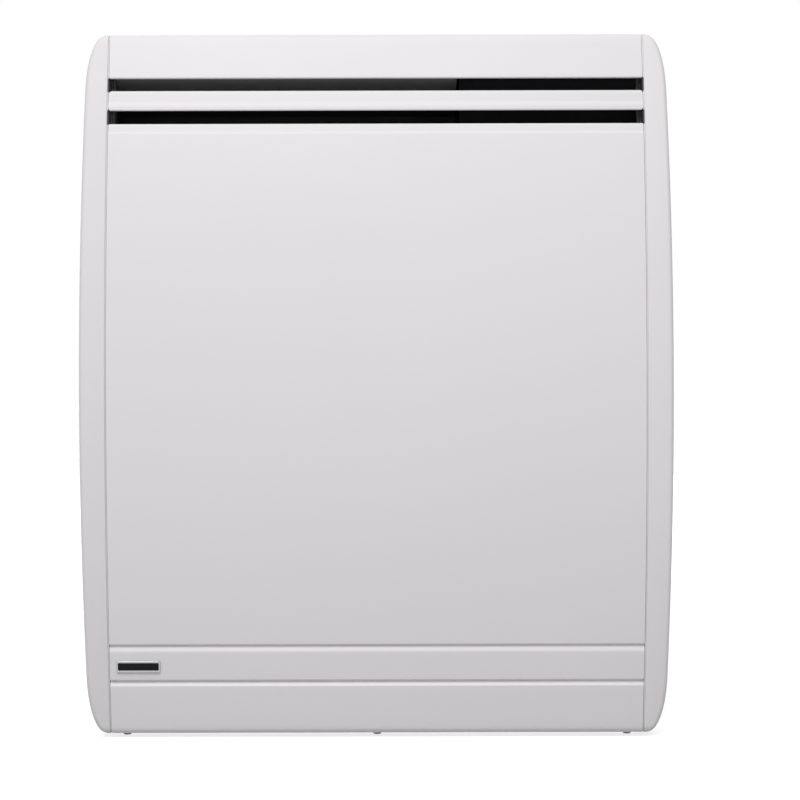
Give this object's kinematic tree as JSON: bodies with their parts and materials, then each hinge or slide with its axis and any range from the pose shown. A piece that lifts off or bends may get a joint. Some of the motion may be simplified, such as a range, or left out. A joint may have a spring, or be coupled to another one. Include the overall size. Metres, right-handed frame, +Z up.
{
  "type": "panel convector heater",
  "caption": "Wall-mounted electric panel convector heater with a bowed white front, twin air outlet slots, rounded end caps, top controls and a tilting wall bracket.",
  "frame": {"origin": "centre of the wall bracket's four screw holes, on the wall's plane, at the heater's mid-height", "axes": "+X to the right as seen from the room, +Y into the wall, +Z up; the front faces -Y"},
  "size_m": [0.47, 0.12, 0.5648],
  "materials": {
    "white_paint": "semi-gloss white stove enamel, very fine orange peel",
    "cap_white": "moulded white plastic, fine satin texture",
    "bracket_paint": "satin white powder coat",
    "zinc_steel": "zinc-coated sheet with faint spangle",
    "dark_steel": "dark heat-proof coating",
    "spring_steel": "bright spring steel",
    "screw_steel": "zinc-plated steel",
    "element_aluminium": "plain pressed aluminium",
    "element_steel": "stainless sheath with heat tint",
    "white_ceramic": "matt unglazed ceramic",
    "black_plastic": "fine-textured black moulding",
    "fascia_grey": "fine-textured dark grey moulding",
    "knob_white": "smooth white moulding",
    "thermostat_resin": "cream phenolic resin",
    "rocker_red": "glossy red moulding",
    "lamp_amber": "clear amber moulding",
    "copper": "drawn copper",
    "brass": "turned brass",
    "block_white": "cream terminal moulding",
    "wire_white": "silicone-covered wire",
    "badge_chrome": "bright chrome frame",
    "badge_black": "plain glossy black field"
  },
  "bodies": {
    "bracket": {"left_rail": "bracket_paint", "right_rail": "bracket_paint", "upper_crossbar": "bracket_paint", "lower_crossbar": "bracket_paint", "bracket_rivets": "screw_steel", "catch_springs": "spring_steel"},
    "heater": {"pivot_bars": "screw_steel", "rear_casing": "zinc_steel", "front_panel": "white_paint", "outlet_blade": "white_paint", "top_hood": "white_paint", "left_end_cap": "cap_white", "right_end_cap": "cap_white", "blade_supports": "dark_steel", "slot_end_plates": "dark_steel", "air_deflector": "dark_steel", "heat_shield": "zinc_steel", "element_rod": "element_steel", "element_fins": "element_aluminium", "element_brackets": "zinc_steel", "element_insulators": "white_ceramic", "element_terminals": "element_steel", "thermal_cutout": "white_ceramic", "control_housing": "black_plastic", "control_fascia": "fascia_grey", "thermostat_body": "thermostat_resin", "power_switch_body": "black_plastic", "pilot_lens": "lamp_amber", "thermostat_bulb": "copper", "bulb_clip": "spring_steel", "capillary_tube": "copper", "terminal_block": "block_white", "cable_gland": "black_plastic", "internal_wires": "wire_white", "earth_terminal": "brass", "foot_screws": "screw_steel", "hood_screws": "screw_steel", "end_cap_screws": "screw_steel", "element_screws": "screw_steel", "control_screws": "screw_steel", "badge_frame": "badge_chrome", "badge_inlay": "badge_black"},
    "knob": {"thermostat_knob": "knob_white"},
    "rocker": {"power_rocker": "rocker_red"}
  },
  "joints": [
    {"name": "heater_tilt", "type": "hinge", "parent": "bracket", "child": "heater", "pos_m": [0, -0.009, -0.255], "axis": [1, 0, 0], "range_deg": [0, 20], "deforming": ["catch_springs"]},
    {"name": "knob_turn", "type": "hinge", "parent": "heater", "child": "knob", "pos_m": [0.1062, -0.05033, 0.272], "axis": [0, 0, -1], "range_deg": [0, 270]},
    {"name": "rocker_press", "type": "hinge", "parent": "heater", "child": "rocker", "pos_m": [0.1522, -0.05033, 0.2695], "axis": [1, 0, 0], "range_deg": [0, 20]}
  ]
}
